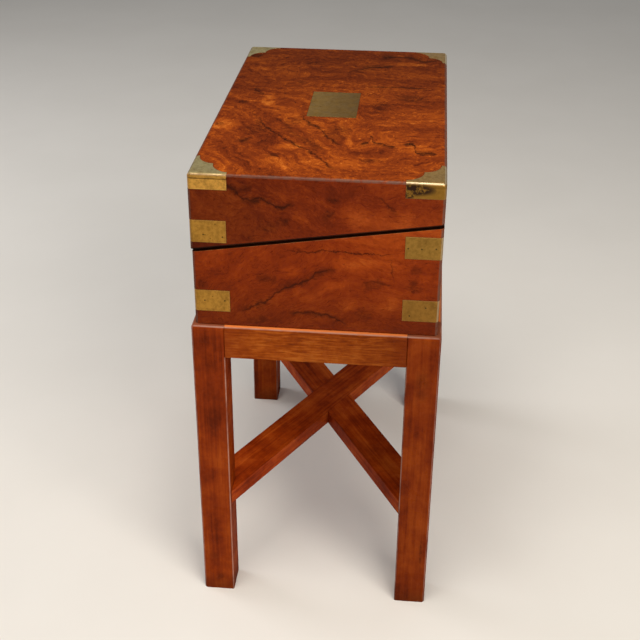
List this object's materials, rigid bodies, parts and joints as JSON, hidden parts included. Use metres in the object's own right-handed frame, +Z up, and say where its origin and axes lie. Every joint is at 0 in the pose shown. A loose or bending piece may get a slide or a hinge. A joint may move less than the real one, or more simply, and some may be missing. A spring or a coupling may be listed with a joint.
{
  "type": "lap desk on stand",
  "caption": "Slant-cut brass-bound walnut writing box with hinged lid, leather writing flaps and pen section, resting on a square-legged stand with an X stretcher.",
  "frame": {"origin": "on the floor, under the middle of the stand", "axes": "+Z up, +X along the length of the box, -Y towards the hinged front where the writer sits"},
  "size_m": [0.441, 0.259, 0.525],
  "materials": {
    "burr_walnut": "french polished burr veneer",
    "stand_mahogany": "waxed",
    "inner_mahogany": "waxed",
    "brass": "old, dull and slightly pitted",
    "writing_leather": "tooled, slightly worn",
    "inkwell_glass": "clear cut glass"
  },
  "bodies": {
    "stand": {"leg_front_left": "stand_mahogany", "leg_front_right": "stand_mahogany", "leg_back_left": "stand_mahogany", "leg_back_right": "stand_mahogany", "rail_front": "stand_mahogany", "rail_back": "stand_mahogany", "rail_left": "stand_mahogany", "rail_right": "stand_mahogany", "stretcher_lower": "stand_mahogany", "stretcher_upper": "stand_mahogany"},
    "desk_base": {"base_bottom": "inner_mahogany", "base_front": "burr_walnut", "base_back": "burr_walnut", "base_left": "burr_walnut", "base_right": "burr_walnut", "base_foot_strap_front_left": "brass", "base_foot_strap_front_right": "brass", "base_foot_strap_back_left": "brass", "base_foot_strap_back_right": "brass", "base_rim_strap_back_left": "brass", "base_rim_strap_back_right": "brass", "hinge_base_leaves": "brass", "hinge_pins": "brass", "base_flap_bearers": "inner_mahogany", "base_flap_hinge_fixed": "brass", "base_flap_hinge_pins": "brass", "pen_divider": "inner_mahogany", "pen_floor": "inner_mahogany", "bay_partitions": "inner_mahogany", "pen_tray": "inner_mahogany", "inkwell_left": "inkwell_glass", "inkwell_right": "inkwell_glass", "inkwell_caps": "brass", "lock_case": "brass", "keyhole_plate": "brass"},
    "lid": {"lid_top": "burr_walnut", "lid_front": "burr_walnut", "lid_back": "burr_walnut", "lid_left": "burr_walnut", "lid_right": "burr_walnut", "lid_cap_front_left": "brass", "lid_cap_front_right": "brass", "lid_cap_back_left": "brass", "lid_cap_back_right": "brass", "lid_rim_strap_front_left": "brass", "lid_rim_strap_front_right": "brass", "lid_plate": "brass", "hinge_lid_leaves": "brass", "lid_flap_bearers": "inner_mahogany", "lid_flap_hinge_fixed": "brass", "lid_flap_hinge_pins": "brass", "lock_link_plate": "brass"},
    "base_flap": {"base_flap_board": "inner_mahogany", "base_flap_leather": "writing_leather", "base_flap_hinge_moving": "brass"},
    "lid_flap": {"lid_flap_board": "inner_mahogany", "lid_flap_leather": "writing_leather", "lid_flap_hinge_moving": "brass"},
    "lock_bolt": {"lock_bolt": "brass"}
  },
  "joints": [
    {"name": "desk_lift", "type": "slide", "parent": "stand", "child": "desk_base", "axis": [0, 0, 1], "range_m": [0, 0.08]},
    {"name": "lid_hinge", "type": "hinge", "parent": "desk_base", "child": "lid", "pos_m": [0, -0.1259, 0.44175], "axis": [1, 0, 0], "range_deg": [0, 180]},
    {"name": "base_flap_hinge", "type": "hinge", "parent": "desk_base", "child": "base_flap", "pos_m": [0, -0.09956, 0.44282], "axis": [1, 0, 0], "range_deg": [0, 60]},
    {"name": "lid_flap_hinge", "type": "hinge", "parent": "lid", "child": "lid_flap", "pos_m": [0, -0.10044, 0.44855], "axis": [-1, 0, 0], "range_deg": [0, 60]},
    {"name": "lock_bolt_slide", "type": "slide", "parent": "desk_base", "child": "lock_bolt", "axis": [1, 0, 0], "range_m": [0, 0.004]}
  ],
  "couplings": [
    {"joint": "base_flap_hinge", "follows": "lid_hinge", "ratio": 0.333},
    {"joint": "lid_flap_hinge", "follows": "lid_hinge", "ratio": 0.333}
  ]
}
